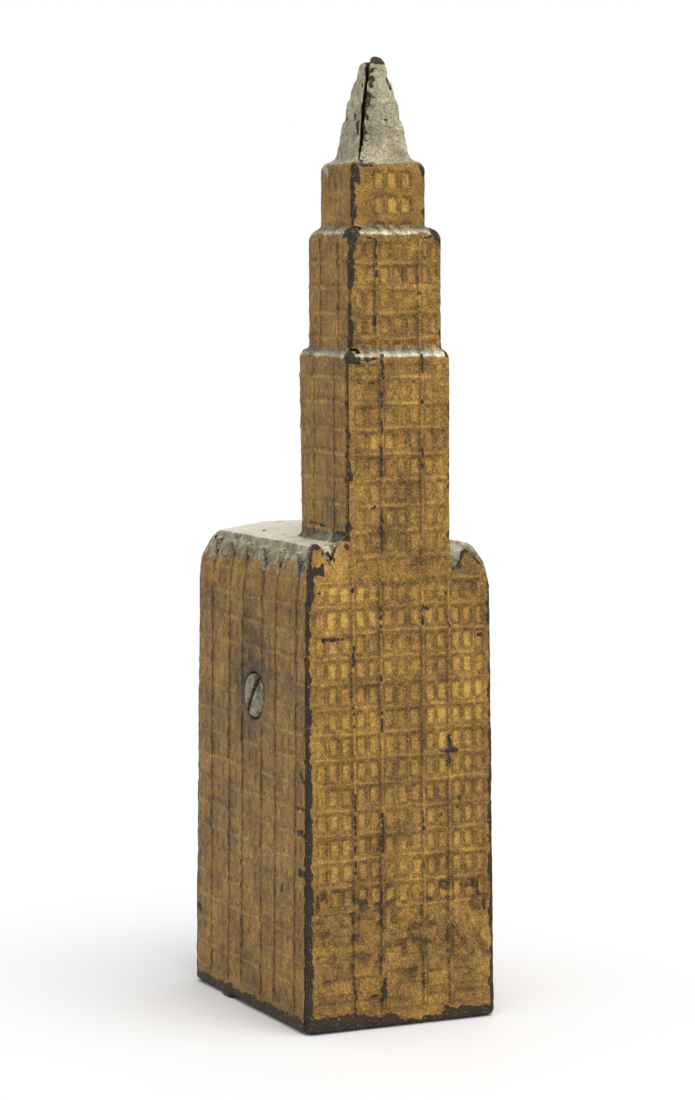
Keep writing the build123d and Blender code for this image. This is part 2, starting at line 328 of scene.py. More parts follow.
def wall_pattern(face, u, z):
    """Windows, cords, piers and arches on one wall of the base."""
    ends_on = face in ("front", "back")
    bays = FRONT_BAYS if ends_on else SIDE_BAYS
    bottom = FRONT_BOTTOM if ends_on else SIDE_BOTTOM
    sunk = windows(u, z, bays, EAVES_BAND, bottom)
    if ends_on:
        sunk = sunk * (1 - 0.3 * bump(u - 0.4, 3.4)) + 0.45 * ground_panels(u, z)
    upright = step(2.6, 3.4, z) * step(EAVES_BAND + 1.5, EAVES_BAND + 0.5, z)
    ridges = (0.16 if ends_on else 0.10) * bands(u, z, EAVES_BAND, bottom, 0.26)
    ridges = ridges + upright * (0.17 * piers(u, z, bays, 0.24) - 0.13 * piers(u + GROOVE, z, bays, 0.17))
    corner = step(0.3, 1.3, (CORNER_X if ends_on else CORNER_Y) - np.abs(u))
    if ends_on:
        lap = -u if face == "front" else u
        over_lap = step(HALF_W - WALL - 1.0, HALF_W - WALL - 0.4, lap)
        sunk = sunk * (1 - LAP_THINNING * over_lap)
    pattern = (ridges - WINDOW_DEEP[face] * sunk) * corner
    if face == "left":
        pattern = pattern * step(3.6, 6.5, np.hypot(u - SCREW_Y, z - SCREW_Z))
    if face == "back":
        pattern = pattern * (1 - inside(z - COIN_SLOT_Z, 2.2, 0.6) * inside(u, 13.6, 0.6))
    if face == "front":
        on_tower = (np.abs(u) < 8.45) & (z > EAVES_BAND)
        pattern = np.where(on_tower, tier_pattern(face, 0, u, z), pattern)
    if not ends_on:
        hollow_part = step(-0.1, 0.35, z - arch_top(u)) * (z > ARCH_FOOT - 0.6)
        pattern = pattern - 0.38 * hollow_part * step(73.4, 71.6, z)
    return pattern


# ---- the outside
def lean(face, z):
    """How far a wall has come in at height z."""
    return LEAN[face] * np.clip(z, 0, LEAN_TOP) / LEAN_TOP


def foot_lip(face, u, z):
    """The lowest edge swells into a bead, as a casting does along its mould joint."""
    swell = 0.30 if face in ("front", "right") else 0.14
    swell = swell * (1 + 0.5 * WOBBLE(u, 0 * u, 3.0))
    under = np.clip(1 - z / FOOT_ROLL, 0, 1)
    lip = swell * bump(z - 1.3, 0.8) - FOOT_ROLL * 0.8 * (1 - np.sqrt(1 - under ** 2))
    if face == "left":
        lip = lip + 0.9 * inside(u - LUG_Y, 1.5, 0.6) * step(1.2, 0.5, z)
    return lip


def wall_distances(x, y, z):
    """Signed distance outside each of the four plain walls."""
    return {"left": -HALF_W + lean("left", z) - x, "right": x - HALF_W + lean("right", z),
            "front": -HALF_D + lean("front", z) - y, "back": y - HALF_D + lean("back", z)}


def rolled_walls(walls, over, inset):
    """Distance outside four walls that roll over into one roof, and each wall's share in it.

    Eighth powers blend the walls into each other, which rounds the corners a little.
    """
    total, side, down = TINY, 3 * TINY, 6 * TINY
    shares = {}
    for face, out in walls.items():
        reach, drop = ROLL[face]
        share = np.square(np.square(np.square(np.maximum(1 + (out + inset) / reach, 0))))
        shares[face] = share
        total = total + share
        side = side + share * reach
        down = down + share * drop
    side, down = side / total, down / total
    level = np.sqrt(np.sqrt(np.sqrt(total)))
    rise = np.maximum(1 + over / down, 0)
    return (np.hypot(level, rise) - 1) * side, {face: s / total for face, s in shares.items()}


def base_block(x, y, z):
    """The base: patterned walls that roll over into the roof, with gables along the front."""
    walls = wall_distances(x, y, z)
    across = {"left": y, "right": y, "front": x, "back": x}
    roof_noise = 0.14 * LUMPS["roof"](x, y, 2.6) + 0.05 * LUMPS["roof"](x, y, 0.5)
    over = z - (ROOF_Z - CROWN * x ** 2) - roof_noise
    block, shares = rolled_walls(walls, over, 0.0)
    for face, share in shares.items():
        u = across[face]
        relief = wall_pattern(face, u, z) + grain(face, u, z, 1.0) + foot_lip(face, u, z)
        block = block - share * relief
    front_wall = walls["front"] - grain("front", x, z, 1.0) - 0.05
    gables = smooth_max((z - gable_top(x)) * 0.7, front_wall, 0.45)
    gables = np.maximum(gables, -walls["front"] - GABLE_DEEP)
    beside = np.maximum(walls["left"], walls["right"]) + 0.35
    gables = np.maximum(np.maximum(gables, GABLE_FOOT - z), beside)
    block = smooth_min(block, gables, 0.4)
    ends = np.maximum(walls["front"], walls["back"]) - 0.35
    sides = np.maximum(walls["left"], walls["right"]) - 0.35
    rounded = smooth_max(ends, sides, 2.4) - 3 * step(2.2, 3.6, z)
    return smooth_max(smooth_max(block, rounded, 0.3), -z, FLOOR_EDGE)


def tier_box(tier, x, y, z):
    """One tier of the tower: four patterned walls under a sloping ledge with a bead at its edge."""
    foot, top, middle, half, front, back = TIERS[tier]
    across = x - middle
    if tier == 0:
        y = y - BACK_LEAN * np.clip(z - ROOF_Z, 0, 30) * step(TOWER_Y, back, y)
    patterns = [tier_pattern(face, tier, u, z) + grain(face, u, z, 0.8)
                for face, u in (("left", y), ("right", y), ("front", x), ("back", x))]
    walls = (-half - across - patterns[0], across - half - patterns[1],
             front - y - patterns[2], y - back - patterns[3])
    box = walls[0]
    for wall in walls[1:]:
        box = smooth_max(box, wall, 0.6)
    bead = 0.30 * bump(-box - 0.5, 0.42) * (0.7 + 0.5 * LUMPS["roof"](x, y, 1.9))
    wavy = 0.26 * LUMPS["roof"](x + 40 * tier, y, 2.9) + 0.08 * LUMPS["roof"](x, y, 1.3)
    rise = np.clip(-box, 0, 1.2) * LEDGE_RISE[tier] / 1.2
    cap = (z - top - rise - (wavy + bead) * min(LEDGE_RISE[tier], 1)) * 0.75
    return np.maximum(smooth_max(box, cap, TIER_ARRIS[tier]), foot - z)


def spire(x, y, z):
    """The tapering spire, with three stages and sides that swell between them."""
    half = np.interp(z, SPIRE_Z, SPIRE_HALF)
    for stage in SPIRE_STAGES:
        swell = step(stage + 0.3, stage - 0.1, z) * step(stage - 3.0, stage - 0.4, z)
        half = half + STAGE_SWELL * swell
    dx, dy = np.abs(x), np.abs(y - TOWER_Y)
    rough = 0.09 * LUMPS["left"](z, x + y, 1.6) + 0.05 * LUMPS["front"](z, x - y, 0.5)
    round_off = 0.5 + 0.5 * step(143.6, 145.4, z)
    sides = np.maximum(dx, dy)
    sides = sides + np.maximum(round_off - np.abs(dx - dy), 0) ** 2 / (4 * round_off)
    return np.maximum(sides - half - rough, SPIRE_Z[0] - z) * 0.95


def outside(x, y, z):
    """The whole bank from outside, before it is hollowed and parted."""
    tower = tier_box(0, x, y, z)
    for tier in (1, 2):
        tower = smooth_min(tower, tier_box(tier, x, y, z), 0.4)
    tower = smooth_max(smooth_min(tower, spire(x, y, z), 0.5), z - HEIGHT, 0.6)
    fillet = 0.5 + 0.4 * step(-20.6, -19.2, y)
    return smooth_min(base_block(x, y, z), tower, fillet)


# ---- the inside
def box_field(x, y, z, low, high, reach):
    sides = [low[0] - x, x - high[0], low[1] - y, y - high[1], low[2] - z, z - high[2]]
    total = sides[0]
    for side in sides[1:]:
        total = smooth_max(total, side, reach)
    return total


def hollow(x, y, z):
    """The coin chamber and the cored-out tower."""
    over = z - (ROOF_Z - WALL - CROWN * x ** 2)
    chamber = rolled_walls(wall_distances(x, y, z), over, WALL)[0]
    chamber = smooth_max(chamber, FLOOR_TOP - z, 1.4)
    for foot, top, middle, half, front, back in TIERS:
        low = (middle - half + TOWER_WALL, front + TOWER_WALL, foot - 2)
        high = (middle + half - TOWER_WALL, back - TOWER_WALL, top - CAP)
        chamber = smooth_min(chamber, box_field(x, y, z, low, high, 0.9), 0.5)
    return chamber


def rod(x, y, z, start, end, radius):
    """A round bar along the screw's axis."""
    around = np.hypot(y - SCREW_Y, z - SCREW_Z)
    return np.maximum(around - radius, np.maximum(start - x, x - end))


def whole_bank(x, y, z):
    """Both castings together: hollow, boss, pad, screw holes, coin slot and recessed floor."""
    seat = HEAD_FACE_X + HEAD_T
    boss = rod(x, y, z, TIP_X - ENGAGEMENT, HALF_W - 1.5, BOSS_R)
    pad = rod(x, y, z, -HALF_W + 1.5, -HALF_W + LEAN["left"] + WALL + PAD_T, PAD_R)
    room = smooth_max(hollow(x, y, z), -np.minimum(boss, pad), 0.8)
    field = smooth_max(outside(x, y, z), -room, 0.3)
    around = np.hypot(y - SCREW_Y, z - SCREW_Z)
    ragged = 0.06 * WOBBLE(3 * np.arctan2(z - SCREW_Z, y - SCREW_Y), 0 * around, 0.8)
    holes = np.maximum(around - HEAD_R - HEAD_CLEARANCE + ragged, x - seat)
    holes = np.minimum(holes, rod(x, y, z, -HALF_W, 0.0, SHANK_R + SHANK_CLEARANCE))
    holes = np.minimum(holes, rod(x, y, z, 0.0, TIP_X + 0.5, SHANK_R + THREAD_CLEARANCE))
    flat = np.maximum(np.abs(x) - (COIN_SLOT_W - COIN_SLOT_H) / 2, 0)
    slot = np.maximum(np.hypot(flat, z - COIN_SLOT_Z) - COIN_SLOT_H / 2, HALF_D - 2 * WALL - y)
    field = smooth_max(field, -np.minimum(holes, slot), 0.35)
    recess = np.maximum(np.abs(x) - HALF_W + RIM, np.abs(y) - HALF_D + RIM)
    return smooth_max(field, -smooth_max(recess, z - FLOOR_RECESS, 0.4), 0.3)


# ---- the parting line
OUTLINE_MARGIN = 3              # how far an outline runs on past the castings
SPIRE_OUTLINE = 8               # reach of the outline that halves the spire


def outline_distance(points, x, y):
    """Signed distance to a closed outline in plan, negative inside."""
    nearest = np.full(np.broadcast(x, y).shape, 1e9, np.float32)
    within = np.zeros(nearest.shape, bool)
    for (ax, ay), (bx, by) in zip(points, points[1:] + points[:1]):
        ex, ey = bx - ax, by - ay
        t = np.clip(((x - ax) * ex + (y - ay) * ey) / (ex * ex + ey * ey), 0, 1)
        nearest = np.minimum(nearest, np.hypot(x - ax - ex * t, y - ay - ey * t))
        if ey:
            crosses = ((ay > y) != (by > y)) & (x < ax + ex * (y - ay) / ey)
            within = within ^ crosses
    return np.where(within, -nearest, nearest)


def corner_lap(half, front, back, wall, middle, rise, shift):
    """Plan of what the front-right casting owns of one box, with a lap at two corners.

    Inside the box the line runs from corner to corner, rise above and below the middle.
    """
    inner = half - wall
    out = half + OUTLINE_MARGIN
    ahead = front - OUTLINE_MARGIN
    points = [(out, ahead), (out, back - SKIN), (inner, back - SKIN), (inner, middle + rise),
              (-inner, middle - rise), (-inner, front + SKIN), (-out, front + SKIN), (-out, ahead)]
    return [(x + shift, y) for x, y in points]


def roof_lap():
    """The same for the roof, where the front-right casting owns the right shoulder."""
    _, _, shift, half, _, back = TIERS[0]
    inner = half - TOWER_WALL
    wall_y = HALF_D - LEAN["back"]
    out = HALF_W + OUTLINE_MARGIN
    ahead = -wall_y - OUTLINE_MARGIN
    return [(out, ahead), (out, wall_y - SKIN), (shift + half, wall_y - SKIN),
            (shift + half, back - SKIN), (shift + inner, back - SKIN),
            (shift + inner, TOWER_Y + inner), (shift - inner, TOWER_Y - inner),
            (shift - inner, SKIN - wall_y), (-out, SKIN - wall_y), (-out, ahead)]


def zones():
    """Height range and plan outline of each stretch of the parting line."""
    wall_y = HALF_D - LEAN["front"]
    eave = HALF_W - LEAN["front"]
    tops = [TIERS[0][1] + LEDGE_RISE[0], TIERS[1][1] + LEDGE_RISE[1], TIERS[2][1] + 0.2]
    base = corner_lap(eave, -wall_y, wall_y, WALL, 0.0, wall_y - WALL, 0.0)
    found = [(-OUTLINE_MARGIN, ROOF_SPLIT_Z, base), (ROOF_SPLIT_Z, ROOF_Z, roof_lap())]
    foot = ROOF_Z
    for (_, _, shift, half, front, back), top in zip(TIERS, tops):
        lap = corner_lap(half, front, back, TOWER_WALL, TOWER_Y, half - TOWER_WALL, shift)
        found.append((foot, top, lap))
        foot = top
    reach = SPIRE_OUTLINE
    triangle = [(reach, TOWER_Y - reach), (reach, TOWER_Y + reach), (-reach, TOWER_Y - reach)]
    found.append((foot, HEIGHT + OUTLINE_MARGIN, triangle))
    return found


def parting(x, y, z, grow):
    """Distance outside the front-right casting's space, once that is grown on every side."""
    total = np.full(np.broadcast(x, y, z).shape, 9.0, np.float32)
    lift = 0.3 * grow
    for low, high, outline in zones():
        picked = np.nonzero((z[0, 0] > low - lift) & (z[0, 0] <= high + lift))[0]
        if not len(picked):
            continue
        plan_y = y
        if high == ROOF_SPLIT_Z:
            wall_y = HALF_D - LEAN["front"]
            plan_y = y * wall_y / (HALF_D - lean("front", z[:, :, picked]))
        layer = outline_distance(outline, x, plan_y) - grow
        total[:, :, picked] = np.minimum(total[:, :, picked], layer)
    return total


# ---- meshes
def lattice(low, high, voxel):
    """Whole-number lattice coordinates from low to high, shaped to broadcast as x, y, z."""
    ranges = [np.arange(math.floor(a / voxel), math.ceil(b / voxel) + 1) for a, b in zip(low, high)]
    shapes = ((-1, 1, 1), (1, -1, 1), (1, 1, -1))
    corner = tuple(int(r[0]) for r in ranges)
    return corner, [(r * voxel).astype(np.float32).reshape(s) for r, s in zip(ranges, shapes)]


def surface(name, blocks, voxel):
    """One closed mesh from a distance field given in blocks of lattice points."""
    grid = openvdb.FloatGrid(BAND)
    grid.gridClass = openvdb.GridClass.LEVEL_SET
    for corner, field in blocks:
        grid.copyFromArray(np.clip(field, -BAND, BAND).astype(np.float32), ijk=corner)
    points, triangles, quads = grid.convertToPolygons(isovalue=0.0, adaptivity=MERGE)
    corners = np.concatenate([triangles[:, ::-1].ravel(), quads[:, ::-1].ravel()]).astype(np.int32)
    sizes = np.concatenate([np.full(len(triangles), 3), np.full(len(quads), 4)])
    starts = np.concatenate([[0], np.cumsum(sizes)[:-1]]).astype(np.int32)
    mesh = bpy.data.meshes.new(name)
    mesh.vertices.add(len(points))
    mesh.vertices.foreach_set("co", (points * voxel * MM).astype(np.float32).ravel())
    mesh.loops.add(len(corners))
    mesh.loops.foreach_set("vertex_index", corners)
    mesh.polygons.add(len(starts))
    mesh.polygons.foreach_set("loop_start", starts)
    mesh.update(calc_edges=True)
    mesh.shade_smooth()
    piece = bpy.data.objects.new(name, mesh)
    bpy.context.scene.collection.objects.link(piece)
    return piece


def castings():
    """The two castings, cut from one field along the parting line."""
    front_right, rear_left = [], []
    split = math.ceil((ROOF_Z + 1.5) / VOXEL) * VOXEL
    halves = (((-HALF_W - 1, -HALF_D - 1, -1), (HALF_W + 1, HALF_D + 1, split)),
              ((-9.8, -22.5, split + VOXEL), (9.8, -2.5, HEIGHT + 1)))
    for low, high in halves:
        corner, (x, y, z) = lattice(low, high, VOXEL)
        body = whole_bank(x, y, z)
        gap = SPIRE_GAP * step(131.0, 133.5, z)
        tongue = SPIRE_TONGUE * step(-0.3, 0.3, x + y - TOWER_Y) * step(130.6, 131.2, z)
        right = smooth_max(body, parting(x, y, z, 0.0) + gap + tongue, LAP_EDGE)
        left = smooth_max(body, -parting(x, y, z, SEAM) + gap - tongue, LAP_EDGE)
        left = smooth_max(left, z - LEFT_TIP, 0.8)
        front_right.append((corner, right))
        rear_left.append((corner, left))
    return (surface("casting_front_right", front_right, VOXEL),
            surface("casting_rear_left", rear_left, VOXEL))


def screw():
    """Slotted screw with a low domed head and a cut thread."""
    low = (HEAD_FACE_X - 0.6, SCREW_Y - HEAD_R - 0.6, SCREW_Z - HEAD_R - 0.6)
    high = (TIP_X + 0.6, SCREW_Y + HEAD_R + 0.6, SCREW_Z + HEAD_R + 0.6)
    corner, (x, y, z) = lattice(low, high, SCREW_VOXEL)
    dy, dz = y - SCREW_Y, z - SCREW_Z
    around = np.hypot(dy, dz)
    dome = HEAD_DOME * (around / HEAD_R) ** 3
    head = smooth_max(around - HEAD_R, HEAD_FACE_X + dome - x, 0.5)
    head = smooth_max(head, x - HEAD_FACE_X - HEAD_T, 0.15)
    across = dz * math.cos(DRIVE_SLOT_TURN) + dy * math.sin(DRIVE_SLOT_TURN)
    slot = np.maximum(np.abs(across) - DRIVE_SLOT_W / 2, x - HEAD_FACE_X - DRIVE_SLOT_DEEP)
    head = smooth_max(head, -slot, 0.25)
    phase = (x / THREAD_PITCH - np.arctan2(dz, dy) / (2 * math.pi)) % 1
    ridge = np.abs(phase - 0.5) * 2
    thread = step(HEAD_FACE_X + HEAD_T + 3, HEAD_FACE_X + HEAD_T + 4, x) * THREAD_DEEP
    tip = 0.8 * np.maximum(x - TIP_X + 0.8, 0)
    shank = np.maximum(around - SHANK_R + thread * ridge + tip, x - TIP_X)
    shank = np.maximum(shank, HEAD_FACE_X + 1.2 - x) * 0.8
    return surface("screw_threaded", [(corner, np.minimum(head, shank))], SCREW_VOXEL)


# ---- paint: where each coat lies
# Bare marks as strokes on a face: from (across, height) to (across, height), half width.
FRONT_MARKS = (
    (8.25, 39.2, 8.3, 43.8, 0.22), (6.6, 41.5, 9.5, 41.6, 0.18), (7.7, 41.5, 8.9, 41.5, 0.35),
    (-3.1, 60.2, -3.1, 63.8, 0.14), (-3.1, 52.0, -3.05, 57.2, 0.12), (-3.1, 45.2, -3.1, 48.0, 0.14),
    (-3.05, 27.2, -3.1, 33.0, 0.26), (-7.65, 24.0, -7.6, 36.0, 0.12), (-7.6, 55.4, -7.6, 58.2, 0.2),
    (-7.7, 46.0, -7.7, 50.0, 0.1), (3.7, 29.4, 3.8, 33.0, 0.12), (3.8, 61.0, 3.9, 64.2, 0.1),
    (3.7, 23.0, 3.7, 25.0, 0.16), (13.4, 58.8, 13.9, 58.9, 0.28), (8.3, 58.0, 8.3, 61.5, 0.09),
    (-3.0, 4.6, -2.9, 7.2, 0.42), (-5.2, 5.0, -4.0, 5.1, 0.2), (-7.8, 2.6, -7.7, 8.2, 0.1),
    (4.4, 63.3, 4.9, 63.2, 0.22), (6.8, 31.6, 7.0, 31.8, 0.22), (-2.9, 20.0, -2.9, 23.5, 0.09),
    (-12.4, 59.3, -9.4, 59.4, 0.25), (-12.9, 50.7, -11.6, 50.6, 0.12), (14.0, 15.2, 14.0, 18.0, 0.1),
    (-13.3, 66.4, -13.1, 66.5, 0.28), (-7.8, 66.4, -7.7, 66.8, 0.22), (9.7, 32.6, 9.9, 34.4, 0.1),
    (-14.6, 69.3, -12.9, 69.7, 0.75), (-15.0, 70.8, -14.3, 73.1, 0.2), (-14.3, 73.1, -13.3, 73.3, 0.4),
    (-12.5, 72.3, -12.7, 70.4, 0.16), (-11.3, 72.2, -10.6, 71.2, 0.28), (-12.1, 72.0, -10.2, 68.9, 0.07),
    (-8.8, 73.3, -8.4, 73.1, 0.3), (11.0, 71.5, 11.4, 71.9, 0.2), (11.4, 71.9, 12.4, 71.2, 0.12),
    (9.2, 69.2, 10.2, 69.4, 0.28), (9.9, 69.5, 10.9, 71.4, 0.12), (12.4, 71.1, 14.2, 69.2, 0.14))
TOWER_MARKS = (
    (-7.8, 100.7, -6.4, 100.7, 0.55), (-6.4, 100.8, -3.5, 100.9, 0.2), (-2.6, 98.2, -2.7, 101.4, 0.26),
    (-2.75, 89.0, -2.8, 96.2, 0.09), (-2.8, 83.5, -2.8, 88.0, 0.11), (-2.8, 72.4, -2.8, 79.0, 0.12),
    (4.0, 98.6, 4.0, 101.4, 0.16), (3.9, 94.3, 3.9, 94.8, 0.14), (3.9, 90.6, 3.9, 91.0, 0.12),
    (3.9, 84.3, 3.9, 88.0, 0.07), (-7.0, 97.3, -6.0, 97.3, 0.14), (-5.3, 97.3, -4.0, 97.3, 0.2),
    (-5.9, 93.6, -5.7, 93.6, 0.16), (-5.4, 89.6, -5.0, 89.6, 0.12), (-0.4, 97.7, -0.2, 97.7, 0.1),
    (-4.4, 78.8, -4.1, 78.9, 0.2), (2.6, 97.5, 2.9, 97.5, 0.14), (6.0, 88.2, 6.2, 88.1, 0.12),
    (-7.0, 117.2, -6.7, 118.9, 0.5), (-7.2, 112.8, -6.9, 114.2, 0.25), (-3.1, 113.2, -3.1, 118.6, 0.13),
    (-6.2, 119.0, -3.5, 118.7, 0.16), (-3.4, 106.2, -3.2, 107.0, 0.3), (4.2, 110.6, 4.2, 111.0, 0.12),
    (6.6, 119.0, 7.3, 118.6, 0.3), (4.3, 118.9, 5.6, 118.8, 0.14), (7.5, 103.6, 7.5, 105.0, 0.2),
    (-5.6, 129.6, -5.2, 127.2, 0.45), (-5.4, 129.6, -3.0, 129.7, 0.22), (5.2, 129.4, 5.7, 128.4, 0.25),
    (-5.7, 122.0, -5.7, 124.5, 0.16), (5.7, 122.4, 5.8, 123.0, 0.2))
LEFT_MARKS = (
    (-20.6, 30.2, -18.4, 30.4, 0.4), (-20.4, 34.0, -18.0, 34.0, 0.2), (-20.6, 24.4, -18.6, 24.2, 0.6),
    (-20.4, 38.0, -18.6, 39.2, 0.35), (-16.5, 12.0, -16.5, 26.0, 0.07), (-9.05, 6.0, -9.1, 18.0, 0.07),
    (-9.1, 24.0, -9.1, 50.0, 0.06), (-3.9, 4.0, -3.9, 20.0, 0.09), (-3.9, 24.0, -3.9, 36.0, 0.07),
    (3.3, 4.4, 3.35, 16.0, 0.12), (3.3, 18.0, 3.3, 27.6, 0.08), (3.4, 41.4, 3.4, 45.0, 0.3),
    (3.3, 51.5, 3.3, 55.6, 0.12), (8.7, 4.0, 8.8, 11.0, 0.12), (8.6, 38.0, 8.6, 47.0, 0.14),
    (8.6, 50.0, 8.6, 59.0, 0.09), (15.8, 26.4, 15.9, 30.4, 0.25), (15.8, 33.0, 15.9, 35.0, 0.12),
    (15.8, 6.5, 15.9, 10.5, 0.25), (19.6, 12.2, 20.4, 12.6, 0.4), (16.0, 17.0, 16.0, 20.5, 0.15),
    (-12.4, 20.5, -12.4, 21.6, 0.3), (-19.4, 71.2, -18.4, 70.2, 0.2), (-15.7, 70.6, -16.4, 69.4, 0.14),
    (-20.8, 69.0, -20.8, 71.5, 0.3), (-20.5, 75.2, -20.4, 77.4, 0.4), (-20.2, 75.0, -17.0, 75.0, 0.32),
    (-13.0, 75.7, -7.0, 76.0, 0.12))
# Chips on the spire's front face and on its left face.
SPIRE_FRONT_MARKS = (
    (-1.0, 142.6, -1.4, 141.5, 0.36), (-1.7, 140.2, -2.1, 138.6, 0.36), (-1.6, 140.0, -0.2, 139.5, 0.13),
    (-2.2, 136.9, -2.3, 136.5, 0.2), (-2.7, 134.9, -2.8, 134.6, 0.19), (-2.9, 133.3, -3.0, 133.0, 0.19),
    (1.5, 142.6, 1.8, 141.2, 0.16), (2.3, 139.9, 2.6, 138.9, 0.14), (-1.2, 143.8, -0.2, 144.0, 0.2),
    (0.6, 136.4, 0.8, 136.4, 0.12), (-1.5, 143.0, -1.6, 144.4, 0.14))
SPIRE_LEFT_MARKS = (
    (-15.0, 135.9, -15.3, 134.7, 0.6), (-14.2, 142.4, -14.0, 141.5, 0.3), (-14.9, 140.4, -15.1, 138.6, 0.3),
    (-12.4, 138.0, -13.5, 136.4, 0.16), (-10.3, 136.7, -10.2, 136.4, 0.16),
    (-11.4, 134.8, -11.3, 134.5, 0.2))
SILVER_PATCHES = ((-8.2, 129.6, -9.4, 128.6, 0.5), (-7.4, 129.9, -8.0, 129.2, 0.4))
# Soft spots of a face: (across, height, reach across, reach up, how much lighter or darker).
FRONT_SPOTS = (
    (-11.0, 63.0, 3.8, 5.5, 0.45), (-5.4, 64.0, 2.6, 3.2, 0.40), (-10.5, 54.5, 3.6, 3.2, 0.30),
    (11.6, 52.5, 3.4, 9.0, 0.36), (6.4, 48.0, 2.4, 5.0, 0.30), (-10.2, 70.5, 1.8, 3.6, 0.60),
    (1.0, 72.0, 7.0, 3.4, -0.30), (12.0, 68.5, 2.5, 2.5, -0.45), (0.0, 5.0, 16.0, 4.0, -0.20),
    (-11.0, 35.0, 3.0, 6.0, 0.15), (9.5, 27.0, 4.0, 6.0, 0.12), (5.0, 6.0, 3.0, 3.0, 0.15),
    (0.2, 127.4, 2.2, 1.6, 0.15), (1.2, 123.2, 2.4, 1.6, 0.35), (-4.5, 121.0, 1.0, 1.6, 0.2),
    (3.0, 67.4, 5.0, 0.8, -0.45), (-10.5, 59.5, 2.8, 0.7, -0.5), (-1.0, 14.5, 9.0, 3.4, -0.22),
    (-10.5, 20.5, 3.4, 1.4, -0.25), (-4.8, 27.0, 1.8, 3.0, -0.25), (0.0, 125.4, 3.0, 0.45, -0.6),
    (2.0, 116.5, 3.0, 1.4, -0.2), (-0.5, 106.5, 3.4, 2.0, -0.25), (-5.6, 93.0, 1.6, 4.0, -0.2),
    (5.5, 76.0, 2.4, 2.0, 0.15), (-5.2, 83.0, 1.8, 3.0, 0.15))
LEFT_SPOTS = (
    (-0.4, 50.5, 3.0, 7.0, -0.40), (12.5, 30.0, 2.5, 4.0, -0.2), (14.0, 64.0, 5.0, 1.2, -0.25),
    (1.0, 60.5, 1.8, 2.2, -0.35), (17.5, 45.0, 2.0, 2.0, -0.2), (-6.5, 60.0, 2.0, 6.0, 0.12),
    (6.0, 30.0, 2.0, 10.0, 0.08), (-13.0, 10.0, 4.0, 6.0, 0.15), (18.5, 55.0, 1.5, 4.0, 0.12))


GRIME_Z = 15.0                  # the front is grimy around this height
SLOPE_STEP = 0.15               # mm either side of a point, to measure relief by
SKIN_SEEN = 0.35                # what lies deeper than this is unpainted iron
STAIN_REACH = 5.4               # dark stain around the screw head
STAIN_DARK = 0.30


def strokes(u, z, marks, ragged):
    """0 to 1: the marks of a list, with a rough edge."""
    total = np.zeros(np.shape(u), np.float32)
    for u0, z0, u1, z1, half in marks:
        du, dz = u1 - u0, z1 - z0
        near = np.abs(z - (z0 + z1) / 2) < abs(dz) / 2 + half + 0.8
        a, b = u[near] - u0, z[near] - z0
        t = np.clip((a * du + b * dz) / (du * du + dz * dz), 0, 1)
        away = np.hypot(a - du * t, b - dz * t) - half + 0.22 * ragged[near]
        total[near] = np.maximum(total[near], step(0.16, -0.16, away))
    return total


def spots(u, z, listed):
    """Sum of the soft spots of a list at each point."""
    total = 0
    for middle, height, across, up, amount in listed:
        total = total + amount * bump(u - middle, across) * bump(z - height, up)
    return total


def gold_tone(face, u, z, pattern, bays):
    """Lighter or darker gold on a face: painted highlight on raised ridges (partly rubbed paint), painted
    shade along steep relief and in the grooves beside the piers, brighter windows.
    """
    apart = SLOPE_STEP
    relief = pattern(u, z)
    steep = np.hypot(pattern(u + apart, z) - pattern(u - apart, z),
                     pattern(u, z + apart) - pattern(u, z - apart)) / (2 * apart)
    slope = np.clip(steep / 0.5, 0, 1)
    proud = np.clip(relief / 0.12, 0, 1)
    sunk = np.clip(-relief / 0.25, 0, 1)
    mottle = 0.5 * WEAR(u, z, 3.7) + 0.3 * WEAR(u + 50, z, 1.4) + 0.3 * WEAR(u + 90, z, 0.7)
    worn = 0.55 + 0.45 * WEAR(u + 11, z, 2.2)
    front = face == "front"
    light = spots(u, z, FRONT_SPOTS if front else LEFT_SPOTS if face == "left" else ())
    if front:
        grime = step(0.05, 0.7, WEAR(u + 5, z, 0.9) + 0.5 * WEAR(u, z + 7, 2.0))
        light = light - 0.9 * grime * inside(z - GRIME_Z, 7.0, 5.0)
    # Painted shade darkens steep relief (slope); a painted highlight lightens raised ridges (proud), partly
    # as rubbed paint.
    tone = (0.025 if front else 0.04) + 0.20 * mottle - 0.19 * slope + 0.28 * proud * worn
    # Painted shade in the groove beside each pier.
    tone = tone - 0.20 * (1.1 - worn) * piers(u + GROOVE, z, bays, 0.2)
    return tone + light * (0.22 + 0.40 * sunk) + (0.14 if front else 0.05) * sunk


def vertex_values(collection, name):
    """Three arrays, one for each axis, of a vector that every vertex has."""
    values = np.zeros(len(collection) * 3, np.float32)
    collection.foreach_get(name, values)
    return values.reshape(-1, 3).T


